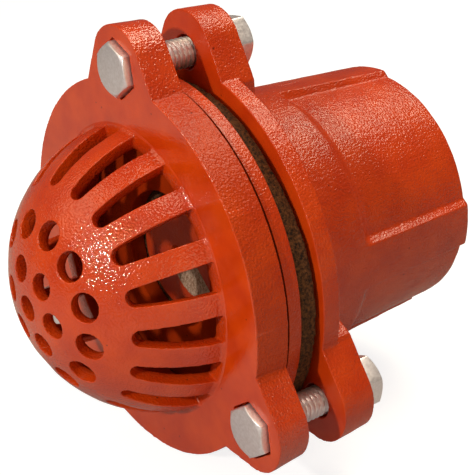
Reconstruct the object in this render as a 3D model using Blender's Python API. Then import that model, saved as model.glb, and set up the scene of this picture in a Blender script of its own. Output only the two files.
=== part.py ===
"""Three-bolt cast-iron foot valve, 3 inch size, lying on its flange rims.

A domed strainer, a seat ring and a leather gasket are clamped to a socket body by three bolts.
A weighted leather flap hangs inside from a tongue of the gasket leather and swings into the body.

All pieces are modelled around the valve's own axis: local +Z runs from the strainer to the socket,
local +X points at the top lug. The valve_axis empty then lays the valve down, so in the world the
axis runs along +X and the top lug points up +Z. Lengths are in metres, angles in degrees.
"""

import math

import bmesh
import bpy
from mathutils import Matrix, Vector

# Fit between pieces
SEAT_GAP = 0.0003

# Stations along the valve's axis, each step written once
STRAINER_FLANGE = 0.0145
SEAT_RING_THICKNESS = 0.0073
LEATHER_THICKNESS = 0.0072
RAISED_FACE = 0.0015
BODY_RIM = 0.0080
BODY_LENGTH = 0.1016
BODY_LUG = 0.0154

# Flanges and lugs; the seat ring lies just inside the bolts, the hub leaves room for their nuts
FLANGE_RADIUS = 0.0785
LUG_COUNT = 3
BOLT_CIRCLE_RADIUS = 0.0831
RING_TO_BOLT = 0.0009
NUT_ROOM = 0.0231
LUG_TIP_RADIUS = 0.0169
LUG_ROOT_HALF = 0.0230
LUG_ROOT_SINK = 0.0020
LUG_DRAFT = 0.0009
EDGE_ROUND = 0.0012

# Strainer dome, slots and holes
DOME_RADIUS = 0.0604
DOME_HEIGHT = 0.0497
DOME_WALL = 0.0055
DOME_FOOT_FILLET = 0.0015
SLOT_COUNT = 18
SLOT_TURN = 14.0
RIB_WIDTH = 0.0092
SLOT_TIP_ANGLE = 46.8
SLOT_FOOT = 0.0011
OUTER_HOLES = 12
OUTER_HOLE_TURN = 15.0
OUTER_HOLE_ANGLE = 31.0
OUTER_HOLE_RADIUS = 0.0058
INNER_HOLES = 6
INNER_HOLE_TURN = -20.0
INNER_HOLE_ANGLE = 14.8
INNER_HOLE_RADIUS = 0.0051

# Seat and flap
SEAT_BORE_RADIUS = 0.0290
GASKET_SETBACK = 0.0037
GASKET_BORE_RADIUS = 0.0500
HINGE_RADIUS = 0.0430
HINGE_WEB = 0.0024
TONGUE_WIDTH = 0.0300
FLAP_RADIUS = 0.0370
FLAP_PLATE_RADIUS = 0.0235
FLAP_PLATE_THICKNESS = 0.0025
WEIGHT_RADIUS = 0.0300
WEIGHT_THICKNESS = 0.0080
WEIGHT_BOSS_RADIUS = 0.0140
WEIGHT_BOSS = 0.0015
WEIGHT_CHAMFER = 0.0030

# Body
CHAMBER_WALL = 0.0070
CHAMBER_DEPTH = 0.0360
CHAMBER_CONE = 0.0140
THROAT_STEP = 0.0052
PIPE_BORE_RADIUS = 0.0439
PIPE_BORE_DEPTH = 0.0310
PIPE_LEAD_IN = 0.0025
PIPE_CHAMFER = 0.0016
RAISED_FACE_STEP = 0.0095
SOCKET_END_RADIUS = 0.0549
RECESS_START = 0.0385
RECESS_FILLET = 0.0070
RECESS_END_RADIUS = 0.0525
RECESS_DEPTH = 0.0033
PAD_FLANK = 4.3
PAD_EDGES = ((-22.0, 4.0), (84.0, 103.0), (158.0, 184.0), (264.0, 283.0))
SOCKET_EDGE_ROUND = 0.0015

# M12 bolts and nuts through the lugs
BOLT_RADIUS = 0.0060
BOLT_HOLE_RADIUS = 0.0070
HEX_ACROSS_FLATS = 0.0190
HEAD_HEIGHT = 0.0075
HEAD_PROUD = 0.0030
POCKET_ACROSS_FLATS = 0.0208
LUG_BOLT_LENGTH = 0.0550
NUT_HEIGHT = 0.0104
HEX_CHAMFER = 0.0011
HEAD_TURNS = (-5.2, -4.1, -6.0)
NUT_TURNS = (25.0, 8.0, 40.0)
BOLT_CLEARANCE = 0.0004

# M8 stud through the flap, riveted over in the plate, with its nut and washers on the weight
STUD_RADIUS = 0.0040
STUD_PROUD = 0.0016
RIVET_RADIUS = 0.0051
RIVET_DEPTH = 0.0011
FLAP_NUT_FLATS = 0.0130
FLAP_NUT_HEIGHT = 0.0065
WASHER_RADIUS = 0.0085
WASHER_THICKNESS = 0.0016
LOCK_WASHER_RADIUS = 0.0068
LOCK_WASHER_THICKNESS = 0.0020

# Facets round a full turn
ROUND_STEPS = 72
SMALL_STEPS = 24

# Stations worked out from the steps above
strainer_back = STRAINER_FLANGE
ring_front = strainer_back + SEAT_GAP
seat_face = ring_front + SEAT_RING_THICKNESS
leather_front = seat_face + SEAT_GAP
leather_back = leather_front + LEATHER_THICKNESS
body_front = leather_back + SEAT_GAP
rim_front = body_front + RAISED_FACE
rim_back = rim_front + BODY_RIM
body_lug_back = rim_front + BODY_LUG
body_end = rim_front + BODY_LENGTH
dome_centre = DOME_RADIUS - DOME_HEIGHT
inner_dome = DOME_RADIUS - DOME_WALL
strainer_bore = math.sqrt(inner_dome**2 - dome_centre**2)
seat_ring_radius = BOLT_CIRCLE_RADIUS - BOLT_RADIUS - RING_TO_BOLT
gasket_radius = seat_ring_radius - GASKET_SETBACK
hub_base = BOLT_CIRCLE_RADIUS - NUT_ROOM
chamber_radius = hub_base - CHAMBER_WALL
throat_radius = chamber_radius - THROAT_STEP
dome_tip = dome_centre - math.sqrt(DOME_RADIUS**2 - INNER_HOLE_RADIUS**2)
hinge_station = leather_front + HINGE_WEB / 2
lug_turns = [360 / LUG_COUNT * k for k in range(LUG_COUNT)]


def clear_scene():
    for old in list(bpy.data.objects):
        bpy.data.objects.remove(old, do_unlink=True)


def finish(name, r, g, b, roughness, metallic):
    """A Principled material in the piece's own colour."""
    material = bpy.data.materials.new(name)
    material.use_nodes = True
    shader = material.node_tree.nodes["Principled BSDF"]
    shader.inputs["Base Color"].default_value = (r, g, b, 1.0)
    shader.inputs["Roughness"].default_value = roughness
    shader.inputs["Metallic"].default_value = metallic
    material.diffuse_color = (r, g, b, 1.0)
    return material


def red_enamel(name):
    return finish(name, 0.62, 0.07, 0.012, 0.32, 0.0)


def zinc_steel(name):
    return finish(name, 0.62, 0.58, 0.55, 0.35, 1.0)


def flap_leather(name):
    return finish(name, 0.11, 0.045, 0.018, 0.8, 0.0)


def object_from(bm, name, material, parent):
    """Turn a finished bmesh into a named, smooth-shaded object under its parent."""
    bmesh.ops.recalc_face_normals(bm, faces=bm.faces)
    mesh = bpy.data.meshes.new(name)
    bm.to_mesh(mesh)
    bm.free()
    mesh.shade_smooth()
    mesh.set_sharp_from_angle(angle=math.radians(32))
    piece = bpy.data.objects.new(name, mesh)
    bpy.context.scene.collection.objects.link(piece)
    piece.parent = parent
    if material is not None:
        mesh.materials.append(material)
    return piece


def cutter_from(bm, name, parent):
    """A solid that only cuts or joins: it stays out of the render."""
    tool = object_from(bm, name, None, parent)
    tool.hide_render = True
    tool.display_type = "WIRE"
    return tool


def combine(piece, tool, operation):
    boolean = piece.modifiers.new(f"{operation.lower()} {tool.name}", "BOOLEAN")
    boolean.operation = operation
    boolean.solver = "EXACT"
    boolean.object = tool


def polar(radius, degrees):
    return radius * math.cos(math.radians(degrees)), radius * math.sin(math.radians(degrees))


def arc(centre_r, centre_z, radius, start, end, steps):
    """Points of an arc in a profile, angles measured from the +r direction towards +z."""
    points = []
    for k in range(steps + 1):
        dr, dz = polar(radius, start + (end - start) * k / steps)
        points.append((centre_r + dr, centre_z + dz))
    return points


def loft_rings(rings, closed):
    """Skin a list of vertex rings; a ring of one point is a pole. Closed lofts form a tube."""
    bm = bmesh.new()
    loops = [[bm.verts.new(point) for point in ring] for ring in rings]
    pairs = list(zip(loops, loops[1:]))
    if closed:
        pairs.append((loops[-1], loops[0]))
    for lower, upper in pairs:
        count = max(len(lower), len(upper))
        for k in range(count):
            after = (k + 1) % count
            corners = [lower[k % len(lower)], lower[after % len(lower)],
                       upper[after % len(upper)], upper[k % len(upper)]]
            corners = list(dict.fromkeys(corners))
            bm.faces.new(corners)
    return bm


def turned(profile, steps, closed=True):
    """Turn a profile of (r, z) points round the axis."""
    rings = []
    for r, z in profile:
        if r < 1e-9:
            rings.append([(0.0, 0.0, z)])
        else:
            rings.append([(*polar(r, 360 * k / steps), z) for k in range(steps)])
    return loft_rings(rings, closed)


def prism(front, back, z_front, z_back):
    """A solid between two outlines of equal length, front and back."""
    rings = [[(x, y, z_front) for x, y in front], [(x, y, z_back) for x, y in back]]
    bm = loft_rings(rings, closed=False)
    half = len(front)
    bm.verts.ensure_lookup_table()
    bm.faces.new(bm.verts[:half])
    bm.faces.new(bm.verts[half:])
    return bm


def circle(radius, steps, centre=(0.0, 0.0)):
    return [(centre[0] + x, centre[1] + y)
            for x, y in (polar(radius, 360 * k / steps) for k in range(steps))]


def hexagon(across_flats, turn, centre=(0.0, 0.0)):
    corner = across_flats / 2 / math.cos(math.radians(30))
    return [(centre[0] + x, centre[1] + y)
            for x, y in (polar(corner, turn + 60 * k) for k in range(6))]


def turned_outline(outline, turn):
    matrix = Matrix.Rotation(math.radians(turn), 2)
    return [tuple(matrix @ Vector(point)) for point in outline]


def merge(*parts):
    """Put several separate bmesh solids into one."""
    whole = bmesh.new()
    for part in parts:
        holder = bpy.data.meshes.new("part")
        part.to_mesh(holder)
        part.free()
        whole.from_mesh(holder)
        bpy.data.meshes.remove(holder)
    return whole


def lug_outline(draft):
    """Ear on local +X: a round tip round the bolt, with straight flanks spreading to the rim."""
    tip = LUG_TIP_RADIUS - draft
    half = LUG_ROOT_HALF - draft
    root = math.sqrt(FLANGE_RADIUS**2 - half**2)
    reach = root - BOLT_CIRCLE_RADIUS
    span = math.degrees(math.atan2(half, reach) - math.acos(tip / math.hypot(reach, half)))
    tip_arc = arc(BOLT_CIRCLE_RADIUS, 0.0, tip, -span, span, 14)
    slope = math.tan(math.radians(90 - span))
    sunk = (root - LUG_ROOT_SINK, half + LUG_ROOT_SINK * slope)
    flank = [sunk, (hub_base - LUG_ROOT_SINK, sunk[1])]
    return tip_arc + flank + [(x, -y) for x, y in reversed(flank)]


def lugs(z_front, z_back):
    """All ears of one casting, each a little smaller at its back, as moulded."""
    ears = []
    for turn in lug_turns:
        front = turned_outline(lug_outline(0.0), turn)
        back = turned_outline(lug_outline(LUG_DRAFT), turn)
        ears.append(prism(front, back, z_front, z_back))
    return merge(*ears)


def bolt_holes(z_front, z_back):
    drills = []
    for turn in lug_turns:
        outline = circle(BOLT_HOLE_RADIUS, SMALL_STEPS, polar(BOLT_CIRCLE_RADIUS, turn))
        drills.append(prism(outline, outline, z_front, z_back))
    return merge(*drills)


def on_dome(radius, angle, turn, sideways=0.0):
    """A point on a sphere about the dome's centre: angle from the tip, turn about the axis."""
    out, down = polar(radius, angle)[1], polar(radius, angle)[0]
    along = Vector((*polar(1.0, turn), 0.0))
    across = Vector((-along.y, along.x, 0.0))
    return along * out + across * sideways + Vector((0.0, 0.0, dome_centre - down))


def slot_cutter(turn):
    """One slot: round at its tip, widening towards the flange so that the ribs stay even."""
    def half_width(angle):
        pitch = 2 * math.pi * DOME_RADIUS * math.sin(math.radians(angle)) / SLOT_COUNT
        return (pitch - RIB_WIDTH) / 2
    tip_half = half_width(SLOT_TIP_ANGLE + 3.0)
    tip_span = math.degrees(tip_half / DOME_RADIUS)
    foot = math.degrees(math.acos((dome_centre + SLOT_FOOT) / DOME_RADIUS))
    edge = []
    for k in range(4):
        swing = math.radians(22.5 * k)
        angle = SLOT_TIP_ANGLE + tip_span * (1 - math.cos(swing))
        edge.append((angle, tip_half * math.sin(swing)))
    straight = SLOT_TIP_ANGLE + tip_span
    for k in range(4):
        angle = straight + (foot - straight) * k / 3
        edge.append((angle, half_width(angle)))
    edge[4] = (straight, tip_half)
    outline = edge + [(angle, -side) for angle, side in reversed(edge[1:])]
    rings = []
    for radius in (inner_dome - 0.006, DOME_RADIUS + 0.004):
        ring = []
        for angle, side in outline:
            point = on_dome(radius, angle, turn, side)
            if angle > foot - 0.01:
                point.z = -SLOT_FOOT
            ring.append(tuple(point))
        rings.append(ring)
    bm = loft_rings(rings, closed=False)
    bm.verts.ensure_lookup_table()
    count = len(outline)
    bm.faces.new(bm.verts[:count])
    bm.faces.new(bm.verts[count:])
    return bm


def hole_cutter(turn, angle, hole_radius, steps):
    """A round hole drilled square to the dome's surface."""
    axis = (on_dome(1.0, angle, turn) - on_dome(0.0, angle, turn)).normalized()
    place = Matrix.Translation((0.0, 0.0, dome_centre)) @ axis.to_track_quat("Z", "X").to_matrix().to_4x4()
    outline = circle(hole_radius, steps)
    bm = prism(outline, outline, inner_dome - 0.006, DOME_RADIUS + 0.004)
    bmesh.ops.transform(bm, matrix=place, verts=bm.verts)
    return bm


def make_strainer(parent):
    """Cast strainer: flange plate, slotted and drilled dome, ears with pockets for the bolt heads."""
    foot_angle = math.degrees(math.asin(dome_centre / DOME_RADIUS))
    outer = arc(0.0, dome_centre, DOME_RADIUS, -90.0, -foot_angle - 1.6, 12)
    inner = arc(0.0, dome_centre, inner_dome, -90.0, 0.0, 9)
    inner = [point for point in inner if point[1] < -0.0005]
    foot_r = math.sqrt(DOME_RADIUS**2 - dome_centre**2) + DOME_FOOT_FILLET
    profile = outer + [(foot_r, 0.0), (FLANGE_RADIUS - EDGE_ROUND, 0.0), (FLANGE_RADIUS, EDGE_ROUND),
                       (FLANGE_RADIUS, strainer_back), (strainer_bore, strainer_back),
                       (strainer_bore, 0.0)] + inner[::-1]
    profile[0] = (0.0, profile[0][1])
    profile[-1] = (0.0, profile[-1][1])
    strainer = object_from(turned(profile, ROUND_STEPS, closed=False), "strainer",
                           red_enamel("strainer_enamel"), parent)
    ears = cutter_from(lugs(0.0, strainer_back), "strainer_ears", parent)
    combine(strainer, ears, "UNION")

    openings = [slot_cutter(SLOT_TURN + 360 / SLOT_COUNT * k) for k in range(SLOT_COUNT)]
    for k in range(OUTER_HOLES):
        turn = OUTER_HOLE_TURN + 360 / OUTER_HOLES * k
        openings.append(hole_cutter(turn, OUTER_HOLE_ANGLE, OUTER_HOLE_RADIUS, 14))
    for k in range(INNER_HOLES):
        turn = INNER_HOLE_TURN + 360 / INNER_HOLES * k
        openings.append(hole_cutter(turn, INNER_HOLE_ANGLE, INNER_HOLE_RADIUS, 14))
    openings.append(hole_cutter(0.0, 0.0, INNER_HOLE_RADIUS, 14))
    combine(strainer, cutter_from(merge(*openings), "strainer_openings", parent), "DIFFERENCE")

    pocket_floor = HEAD_HEIGHT - HEAD_PROUD + SEAT_GAP
    pockets = []
    for turn, head_turn in zip(lug_turns, HEAD_TURNS):
        outline = hexagon(POCKET_ACROSS_FLATS, turn + head_turn, polar(BOLT_CIRCLE_RADIUS, turn))
        pockets.append(prism(outline, outline, -0.002, pocket_floor))
    combine(strainer, cutter_from(merge(*pockets), "strainer_pockets", parent), "DIFFERENCE")
    holes = bolt_holes(pocket_floor - 0.001, strainer_back + 0.002)
    combine(strainer, cutter_from(holes, "strainer_bolt_holes", parent), "DIFFERENCE")
    return strainer


def make_seat_ring(parent):
    """Turned ring that the flap closes on, held between the strainer and the gasket."""
    profile = [(SEAT_BORE_RADIUS, ring_front), (seat_ring_radius, ring_front),
               (seat_ring_radius, seat_face - EDGE_ROUND), (seat_ring_radius - EDGE_ROUND, seat_face),
               (SEAT_BORE_RADIUS, seat_face)]
    return object_from(turned(profile, ROUND_STEPS), "seat_ring", red_enamel("seat_ring_enamel"), parent)


def across(profile, width):
    """A bar with a side profile in (x, z), running straight across the valve."""
    rings = [[(x, side, z) for x, z in profile] for side in (-width / 2, width / 2)]
    bm = loft_rings(rings, closed=False)
    bm.verts.ensure_lookup_table()
    count = len(profile)
    bm.faces.new(bm.verts[:count])
    bm.faces.new(bm.verts[count:])
    return bm


def tongued_circle(radius, steps, reach):
    """A circle with one straight-sided tongue on +X; reach is how far the tongue's end lies out."""
    corner = math.degrees(math.asin(TONGUE_WIDTH / 2 / radius))
    outline = arc(0.0, 0.0, radius, corner, 360 - corner, steps)
    return outline + [(reach, -TONGUE_WIDTH / 2), (reach, TONGUE_WIDTH / 2)]


def make_gasket(parent):
    """Leather ring clamped under the body, with the root of the tongue that the flap hangs from."""
    rim = circle(gasket_radius, ROUND_STEPS)
    gasket = object_from(prism(rim, rim, leather_front, leather_back), "leather_gasket",
                         flap_leather("gasket_leather"), parent)
    opening = tongued_circle(GASKET_BORE_RADIUS, ROUND_STEPS - 10, HINGE_RADIUS)
    bore = prism(opening, opening, leather_front - 0.002, leather_back + 0.002)
    combine(gasket, cutter_from(bore, "gasket_bore", parent), "DIFFERENCE")
    cup = arc(HINGE_RADIUS, hinge_station, HINGE_WEB / 2 + SEAT_GAP, 50.0, -80.0, 6)
    low = leather_front - 0.002
    high = leather_back + 0.002
    hollow = cup + [(cup[-1][0], low), (HINGE_RADIUS - 0.003, low), (HINGE_RADIUS - 0.003, high),
                    (HINGE_RADIUS + 0.0055, high)]
    combine(gasket, cutter_from(across(hollow, TONGUE_WIDTH + 0.004), "gasket_hinge_cup", parent), "DIFFERENCE")
    return gasket


def make_flap_leather(hinge):
    """Leather disc with its half of the tongue, thinned to a web at the hinge line."""
    front = leather_front - hinge_station
    back = leather_back - hinge_station
    outline = [(x - HINGE_RADIUS, y) for x, y in
               tongued_circle(FLAP_RADIUS, ROUND_STEPS - 12, HINGE_RADIUS + HINGE_WEB)]
    flap = object_from(prism(outline, outline, front, back), "flap_leather",
                       flap_leather("flap_disc_leather"), hinge)
    high = back + 0.002
    knuckle = arc(0.0, 0.0, HINGE_WEB / 2, 90.0, -75.0, 6)
    relief = knuckle + [(knuckle[-1][0], front - 0.002), (HINGE_WEB * 2, front - 0.002), (HINGE_WEB * 2, high),
                        (-0.0078, high), (-0.0042, HINGE_WEB / 2)]
    combine(flap, cutter_from(across(relief, TONGUE_WIDTH + 0.004), "flap_hinge_relief", hinge), "DIFFERENCE")
    hole = circle(STUD_RADIUS + BOLT_CLEARANCE, SMALL_STEPS, (-HINGE_RADIUS, 0.0))
    drill = prism(hole, hole, front - 0.002, high)
    combine(flap, cutter_from(drill, "flap_leather_hole", hinge), "DIFFERENCE")
    return flap


def flap_disc(name, profile, steps, material, hinge, closed=True):
    """A turned piece of the flap, about the valve's axis but carried by the hinge."""
    bm = turned(profile, steps, closed)
    bmesh.ops.translate(bm, verts=bm.verts, vec=-hinge.location)
    return object_from(bm, name, material, hinge)


def ring_profile(bore, radius, z_low, z_high):
    return [(bore, z_low), (radius, z_low), (radius, z_high), (bore, z_high)]


def make_flap_metal(hinge):
    """Clamp plate, weight, stud, washers and nut, named from the strainer side to the socket side."""
    bore = STUD_RADIUS + BOLT_CLEARANCE
    sink = RIVET_RADIUS + BOLT_CLEARANCE
    plate_back = leather_front - SEAT_GAP
    plate_front = plate_back - FLAP_PLATE_THICKNESS
    plate = [(sink, plate_front), (FLAP_PLATE_RADIUS - EDGE_ROUND, plate_front),
             (FLAP_PLATE_RADIUS, plate_front + EDGE_ROUND), (FLAP_PLATE_RADIUS, plate_back), (bore, plate_back),
             (bore, plate_front + RIVET_DEPTH)]
    flap_disc("flap_plate", plate, SMALL_STEPS * 2, red_enamel("flap_plate_enamel"), hinge)

    weight_front = leather_back + SEAT_GAP
    weight_back = weight_front + WEIGHT_THICKNESS
    weight_top = weight_back + WEIGHT_BOSS
    weight = [(bore, weight_front), (WEIGHT_RADIUS, weight_front),
              (WEIGHT_RADIUS, weight_back - WEIGHT_CHAMFER), (WEIGHT_RADIUS - WEIGHT_CHAMFER, weight_back),
              (WEIGHT_BOSS_RADIUS + WEIGHT_BOSS, weight_back), (WEIGHT_BOSS_RADIUS, weight_top),
              (bore, weight_top)]
    flap_disc("flap_weight", weight, SMALL_STEPS * 2, red_enamel("flap_weight_enamel"), hinge)

    washer_front = weight_top + SEAT_GAP
    washer_back = washer_front + WASHER_THICKNESS
    flap_disc("flap_washer", ring_profile(bore, WASHER_RADIUS, washer_front, washer_back), SMALL_STEPS,
              zinc_steel("washer_zinc"), hinge)
    lock_front = washer_back + SEAT_GAP
    lock_back = lock_front + LOCK_WASHER_THICKNESS
    flap_disc("flap_lock_washer", ring_profile(bore, LOCK_WASHER_RADIUS, lock_front, lock_back), SMALL_STEPS,
              zinc_steel("lock_washer_zinc"), hinge)
    nut_front = lock_back + SEAT_GAP
    nut_back = nut_front + FLAP_NUT_HEIGHT
    make_nut("flap_nut", (0.0, 0.0), 12.0, nut_front, nut_back, zinc_steel("flap_nut_zinc"), hinge,
             FLAP_NUT_FLATS, STUD_RADIUS)

    stud_end = nut_back + STUD_PROUD
    small = STUD_RADIUS - HEX_CHAMFER
    stud = [(0.0, plate_front), (RIVET_RADIUS, plate_front), (STUD_RADIUS, plate_front + RIVET_DEPTH),
            (STUD_RADIUS, stud_end - HEX_CHAMFER), (small, stud_end), (0.0, stud_end)]
    flap_disc("flap_stud", stud, SMALL_STEPS, zinc_steel("flap_stud_zinc"), hinge, closed=False)


def hex_head(centre, turn, z_plain, z_chamfered, shank_z):
    """Hexagon prism whose free end is turned to a chamfer, on a shank to shank_z."""
    flat = HEX_ACROSS_FLATS / 2
    sign = 1.0 if z_chamfered > z_plain else -1.0
    ring_low = [(*point, z_plain) for point in hexagon(HEX_ACROSS_FLATS, turn, centre)]
    ring_mid = [(*point, z_chamfered - sign * HEX_CHAMFER) for point in hexagon(HEX_ACROSS_FLATS, turn, centre)]
    ring_top = [(centre[0] + x, centre[1] + y, z_chamfered)
                for x, y in (polar(flat * 0.97, turn + 60 * k) for k in range(6))]
    bm = loft_rings([ring_low, ring_mid, ring_top], closed=False)
    bm.verts.ensure_lookup_table()
    bm.faces.new(bm.verts[:6])
    bm.faces.new(bm.verts[12:])
    bmesh.ops.recalc_face_normals(bm, faces=bm.faces)
    overlap = z_plain + sign * 0.001
    tip = shank_z + sign * HEX_CHAMFER
    full = circle(BOLT_RADIUS, SMALL_STEPS, centre)
    small = circle(BOLT_RADIUS - HEX_CHAMFER, SMALL_STEPS, centre)
    rings = [[(*point, overlap) for point in full], [(*point, tip) for point in full],
             [(*point, shank_z) for point in small]]
    shank = loft_rings(rings, closed=False)
    shank.verts.ensure_lookup_table()
    shank.faces.new(shank.verts[:SMALL_STEPS])
    shank.faces.new(shank.verts[2 * SMALL_STEPS:])
    bmesh.ops.recalc_face_normals(shank, faces=shank.faces)
    return bm, shank


def make_bolt(name, centre, turn, z_plain, z_chamfered, shank_z, material, parent):
    head, shank = hex_head(centre, turn, z_plain, z_chamfered, shank_z)
    bolt = object_from(head, name, material, parent)
    combine(bolt, cutter_from(shank, f"{name}_shank", parent), "UNION")
    return bolt


def make_nut(name, centre, turn, z_front, z_back, material, parent, flats, rod_radius):
    """Hexagon nut, chamfered on both faces; its bore stands clear of the bolt."""
    flat = flats / 2
    bore = rod_radius + BOLT_CLEARANCE
    steps = 6
    corners = hexagon(flats, turn, centre)
    inner = [(centre[0] + x, centre[1] + y)
             for x, y in (polar(flat * 0.97, turn + 60 * k) for k in range(steps))]
    rings = [[(*point, z_front) for point in inner], [(*point, z_front + HEX_CHAMFER) for point in corners],
             [(*point, z_back - HEX_CHAMFER) for point in corners], [(*point, z_back) for point in inner]]
    bm = loft_rings(rings, closed=False)
    bm.verts.ensure_lookup_table()
    bm.faces.new(bm.verts[:steps])
    bm.faces.new(bm.verts[3 * steps:])
    hole = circle(bore, SMALL_STEPS, centre)
    drill = prism(hole, hole, z_front - 0.001, z_back + 0.001)
    if parent.name == "flap_hinge":
        for part in (bm, drill):
            bmesh.ops.translate(part, verts=part.verts, vec=-parent.location)
    nut = object_from(bm, name, material, parent)
    combine(nut, cutter_from(drill, f"{name}_bore", parent), "DIFFERENCE")
    return nut


def pad_turns():
    """Turns round the socket: pad tops, their sloping flanks and the recessed panels between."""
    turns = []
    for k, (start, end) in enumerate(PAD_EDGES):
        next_start = PAD_EDGES[(k + 1) % len(PAD_EDGES)][0]
        if k == len(PAD_EDGES) - 1:
            next_start += 360
        top_steps = max(2, round((end - start) / 6))
        for i in range(top_steps + 1):
            turns.append((start + (end - start) * i / top_steps, 1.0))
        low, high = end + PAD_FLANK, next_start - PAD_FLANK
        panel_steps = max(2, round((high - low) / 6))
        for i in range(panel_steps + 1):
            turns.append((low + (high - low) * i / panel_steps, 0.0))
    return turns


def hub_radius(z):
    """Outer cone of hub and pads, tapering towards the socket's end."""
    share = (z - rim_back) / (body_end - rim_back)
    return hub_base + (SOCKET_END_RADIUS - hub_base) * share


def panel_radius(z):
    """The recessed panels: down from the hub in a smooth fillet, then a slight taper."""
    start = rim_front + RECESS_START
    foot = start + RECESS_FILLET
    if z <= start:
        return hub_radius(z)
    sunk = hub_radius(foot) - RECESS_DEPTH
    if z < foot:
        share = (z - start) / RECESS_FILLET
        ease = share * share * (3 - 2 * share)
        return hub_radius(start) + (sunk - hub_radius(start)) * ease
    return sunk + (RECESS_END_RADIUS - sunk) * (z - foot) / (body_end - foot)


def make_body(parent):
    """Cast body: flange rim with thick ears, flap chamber, and the socket with its wrench pads."""
    turns = pad_turns()
    recess = rim_front + RECESS_START
    fillet_foot = rim_back + DOME_FOOT_FILLET * 2
    chamber_end = body_front + CHAMBER_DEPTH
    throat_start = chamber_end + CHAMBER_CONE
    bore_start = body_end - PIPE_BORE_DEPTH
    raised = FLANGE_RADIUS - RAISED_FACE_STEP
    outline = [(chamber_radius, body_front), (raised, body_front), (raised, rim_front),
               (FLANGE_RADIUS - EDGE_ROUND, rim_front),
               (FLANGE_RADIUS, rim_front + EDGE_ROUND), (FLANGE_RADIUS, rim_back),
               (hub_base + 0.0025, rim_back), (hub_base + 0.0006, rim_back + 0.0009)]
    socket = [fillet_foot, recess] + [recess + RECESS_FILLET * k / 5 for k in range(1, 6)]
    socket += [(recess + RECESS_FILLET + body_end) / 2, body_end - SOCKET_EDGE_ROUND]
    inside = [(PIPE_BORE_RADIUS + PIPE_CHAMFER, body_end), (PIPE_BORE_RADIUS, body_end - PIPE_CHAMFER),
              (PIPE_BORE_RADIUS, bore_start), (throat_radius, bore_start - PIPE_LEAD_IN),
              (throat_radius, throat_start), (chamber_radius, chamber_end)]
    rings = []
    for r, z in outline:
        rings.append([(*polar(r, turn), z) for turn, _ in turns])
    for z in socket:
        rings.append([(*polar(hub_radius(z) if top else panel_radius(z), turn), z) for turn, top in turns])
    end_ring = []
    for turn, top in turns:
        radius = (hub_radius(body_end) if top else panel_radius(body_end)) - SOCKET_EDGE_ROUND
        end_ring.append((*polar(radius, turn), body_end))
    rings.append(end_ring)
    for r, z in inside:
        rings.append([(*polar(r, turn), z) for turn, _ in turns])
    body = object_from(loft_rings(rings, closed=True), "body", red_enamel("body_enamel"), parent)
    combine(body, cutter_from(lugs(rim_front, body_lug_back), "body_ears", parent), "UNION")
    holes = bolt_holes(rim_front - 0.002, body_lug_back + 0.002)
    combine(body, cutter_from(holes, "body_bolt_holes", parent), "DIFFERENCE")
    return body


def make_lug_fasteners(parent):
    """Three hexagon bolts from the strainer side, each with its nut behind the body's ear."""
    head_face = -HEAD_PROUD
    head_seat = HEAD_HEIGHT - HEAD_PROUD
    nut_front = body_lug_back + SEAT_GAP
    for k, turn in enumerate(lug_turns):
        centre = polar(BOLT_CIRCLE_RADIUS, turn)
        make_bolt(f"bolt_{k + 1}", centre, turn + HEAD_TURNS[k], head_seat, head_face,
                  head_seat + LUG_BOLT_LENGTH, zinc_steel(f"bolt_{k + 1}_zinc"), parent)
        make_nut(f"nut_{k + 1}", centre, turn + NUT_TURNS[k], nut_front, nut_front + NUT_HEIGHT,
                 zinc_steel(f"nut_{k + 1}_zinc"), parent, HEX_ACROSS_FLATS, BOLT_RADIUS)


def build_valve():
    clear_scene()
    axis = bpy.data.objects.new("valve_axis", None)
    bpy.context.scene.collection.objects.link(axis)
    lying = Matrix(((0, 0, 1), (0, -1, 0), (1, 0, 0))).to_4x4()
    middle = (body_end + dome_tip) / 2
    axis.matrix_world = Matrix.Translation((-middle, 0.0, FLANGE_RADIUS)) @ lying
    hinge = bpy.data.objects.new("flap_hinge", None)
    bpy.context.scene.collection.objects.link(hinge)
    hinge.parent = axis
    hinge.location = (HINGE_RADIUS, 0.0, hinge_station)

    make_strainer(axis)
    make_seat_ring(axis)
    make_gasket(axis)
    make_body(axis)
    make_lug_fasteners(axis)
    make_flap_leather(hinge)
    make_flap_metal(hinge)


build_valve()
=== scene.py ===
import math

import bmesh
import bpy
import numpy as np
from mathutils import Matrix, Vector, noise


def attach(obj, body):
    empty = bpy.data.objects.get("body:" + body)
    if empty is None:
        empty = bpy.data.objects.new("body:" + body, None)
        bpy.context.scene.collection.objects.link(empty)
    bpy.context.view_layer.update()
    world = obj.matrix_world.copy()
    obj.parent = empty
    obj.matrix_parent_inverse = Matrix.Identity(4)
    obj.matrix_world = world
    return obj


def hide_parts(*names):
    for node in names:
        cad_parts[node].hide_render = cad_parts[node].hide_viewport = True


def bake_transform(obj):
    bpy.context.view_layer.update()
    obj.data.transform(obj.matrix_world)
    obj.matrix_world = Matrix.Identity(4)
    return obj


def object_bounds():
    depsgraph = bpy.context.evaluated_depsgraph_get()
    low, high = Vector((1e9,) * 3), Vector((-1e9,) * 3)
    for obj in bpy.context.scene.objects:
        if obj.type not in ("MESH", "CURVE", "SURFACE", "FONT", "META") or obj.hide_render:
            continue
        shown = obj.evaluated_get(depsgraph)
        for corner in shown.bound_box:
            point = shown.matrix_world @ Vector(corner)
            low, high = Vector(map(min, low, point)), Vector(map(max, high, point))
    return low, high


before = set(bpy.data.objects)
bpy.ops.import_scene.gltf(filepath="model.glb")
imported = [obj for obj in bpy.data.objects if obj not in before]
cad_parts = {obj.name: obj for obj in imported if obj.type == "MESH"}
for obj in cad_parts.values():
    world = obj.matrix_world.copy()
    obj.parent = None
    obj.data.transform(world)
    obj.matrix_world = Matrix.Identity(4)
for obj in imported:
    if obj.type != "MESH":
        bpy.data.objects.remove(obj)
solid_box = [list(corner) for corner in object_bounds()]

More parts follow.
